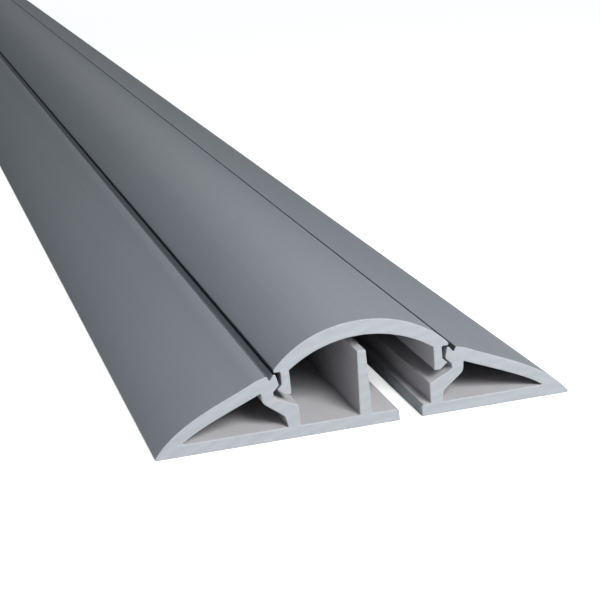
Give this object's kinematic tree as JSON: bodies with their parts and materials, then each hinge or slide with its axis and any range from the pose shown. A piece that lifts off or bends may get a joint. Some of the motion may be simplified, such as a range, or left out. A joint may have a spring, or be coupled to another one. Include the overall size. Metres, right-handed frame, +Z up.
{
  "type": "cable protector",
  "caption": "Low ramp-shaped floor duct for cables: an extruded base with hollow wings, a divider between its channels, and an arched clip-in cover.",
  "frame": {"origin": "middle of the flat underside", "axes": "+X across the strip, +Y along it, away from the slotted end, +Z up out of the floor"},
  "size_m": [0.08, 1, 0.0205],
  "materials": {
    "base_pvc": "rigid grey PVC as extruded, satin skin with fine die lines, sawn ends paler",
    "cover_pvc": "rigid grey PVC as extruded, satin skin with fine die lines, sawn ends paler"
  },
  "bodies": {
    "base": {"base": "base_pvc"},
    "cover": {"cover": "cover_pvc"}
  },
  "joints": [
    {"name": "cover_slide", "type": "slide", "parent": "base", "child": "cover", "axis": [0, 1, 0], "range_m": [-0.9, 0.9]}
  ]
}
